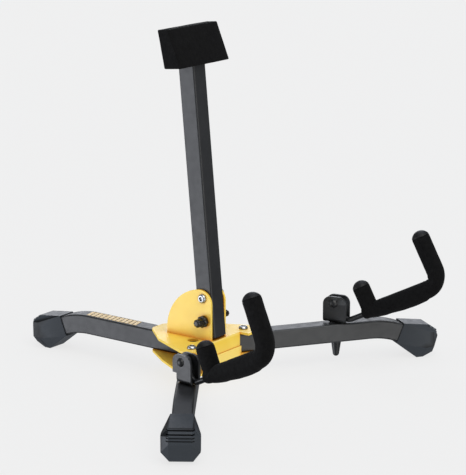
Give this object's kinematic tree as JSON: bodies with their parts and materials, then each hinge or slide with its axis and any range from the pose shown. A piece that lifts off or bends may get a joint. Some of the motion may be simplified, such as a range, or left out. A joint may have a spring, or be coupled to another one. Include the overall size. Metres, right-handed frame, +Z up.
{
  "type": "folding guitar stand",
  "caption": "Low folding floor stand for a small guitar: yellow pressed hub, black square-tube legs, foam yokes that fold, and a padded upright.",
  "frame": {"origin": "on the floor, under the middle of the stand's width and depth", "axes": "+X to the stand's right-hand yoke, -Y to the side the guitar stands on, +Y along the rear leg, +Z up"},
  "size_m": [0.4366, 0.4002, 0.3497],
  "materials": {
    "yellow_coat": "satin powder coat",
    "black_coat": "satin powder coat",
    "foam": "matt closed-cell foam",
    "cap_rubber": "soft rubber",
    "foot_rubber": "satin rubber",
    "bright_steel": "bright plated",
    "black_steel": "black plated",
    "black_plastic": "moulded",
    "pale_nylon": "moulded",
    "print": "printed film"
  },
  "bodies": {
    "hub": {"top_plate": "yellow_coat", "left_ear": "yellow_coat", "right_ear": "yellow_coat", "bottom_plate": "yellow_coat", "rear_leg": "black_coat", "rear_leg_plug": "black_plastic", "rear_foot": "foot_rubber", "rear_label": "print", "rear_bolt_near": "bright_steel", "rear_bolt_far": "bright_steel", "left_leg_bolt": "bright_steel", "right_leg_bolt": "bright_steel", "left_leg_nut": "bright_steel", "right_leg_nut": "bright_steel", "upright_bolt": "bright_steel", "upright_nut": "bright_steel"},
    "upright": {"upright_tube": "black_coat", "upright_bush": "pale_nylon", "upright_foot_plug": "black_plastic", "upright_end_plate": "black_coat", "pad_crossbar": "black_coat", "back_pad": "foam"},
    "left_leg_body": {"left_leg": "black_coat", "left_leg_plug": "black_plastic", "left_leg_bush": "pale_nylon", "left_foot": "foot_rubber", "left_swivel_stud": "black_steel", "left_swivel_nut": "black_steel"},
    "left_bracket_body": {"left_bracket": "black_coat", "left_rivet": "black_steel"},
    "left_yoke": {"left_yoke_rod": "black_coat", "left_long_foam": "foam", "left_short_foam": "foam", "left_long_cap": "cap_rubber", "left_short_cap": "cap_rubber"},
    "left_leg_release": {"left_leg_button": "black_plastic"},
    "left_knob": {"left_lock_knob": "black_plastic"},
    "right_leg_body": {"right_leg": "black_coat", "right_leg_plug": "black_plastic", "right_leg_bush": "pale_nylon", "right_foot": "foot_rubber", "right_swivel_stud": "black_steel", "right_swivel_nut": "black_steel"},
    "right_bracket_body": {"right_bracket": "black_coat", "right_rivet": "black_steel"},
    "right_yoke": {"right_yoke_rod": "black_coat", "right_long_foam": "foam", "right_short_foam": "foam", "right_long_cap": "cap_rubber", "right_short_cap": "cap_rubber"},
    "right_leg_release": {"right_leg_button": "black_plastic"},
    "right_knob": {"right_lock_knob": "black_plastic"}
  },
  "joints": [
    {"name": "upright_fold", "type": "hinge", "parent": "hub", "child": "upright", "pos_m": [0, -0.0227, 0.0866], "axis": [-1, 0, 0], "range_deg": [0, 84.7]},
    {"name": "left_leg_fold", "type": "hinge", "parent": "hub", "child": "left_leg_body", "pos_m": [-0.04198, -0.03236, 0.033], "axis": [0, 0, 1], "range_deg": [0, 55.4]},
    {"name": "left_yoke_swivel", "type": "hinge", "parent": "left_leg_body", "child": "left_bracket_body", "pos_m": [-0.12388, -0.08886, 0.044], "axis": [0, 0, -1], "range_deg": [0, 44]},
    {"name": "left_yoke_tilt", "type": "hinge", "parent": "left_bracket_body", "child": "left_yoke", "pos_m": [-0.12368, -0.08788, 0.0632], "axis": [-0.9803, 0.1977, 0], "range_deg": [0, 75]},
    {"name": "left_leg_press", "type": "slide", "parent": "left_leg_body", "child": "left_leg_release", "axis": [0, 0, -1], "range_m": [0, 0.004], "stiffness_N_per_m": 300},
    {"name": "left_knob_pull", "type": "slide", "parent": "hub", "child": "left_knob", "axis": [-1, 0, 0], "range_m": [0, 0.004], "stiffness_N_per_m": 300},
    {"name": "right_leg_fold", "type": "hinge", "parent": "hub", "child": "right_leg_body", "pos_m": [0.04198, -0.03236, 0.033], "axis": [0, 0, -1], "range_deg": [0, 55.4]},
    {"name": "right_yoke_swivel", "type": "hinge", "parent": "right_leg_body", "child": "right_bracket_body", "pos_m": [0.12388, -0.08886, 0.044], "axis": [0, 0, 1], "range_deg": [0, 44]},
    {"name": "right_yoke_tilt", "type": "hinge", "parent": "right_bracket_body", "child": "right_yoke", "pos_m": [0.12368, -0.08788, 0.0632], "axis": [-0.9803, -0.1977, 0], "range_deg": [0, 75]},
    {"name": "right_leg_press", "type": "slide", "parent": "right_leg_body", "child": "right_leg_release", "axis": [0, 0, -1], "range_m": [0, 0.004], "stiffness_N_per_m": 300},
    {"name": "right_knob_pull", "type": "slide", "parent": "hub", "child": "right_knob", "axis": [1, 0, 0], "range_m": [0, 0.004], "stiffness_N_per_m": 300}
  ]
}
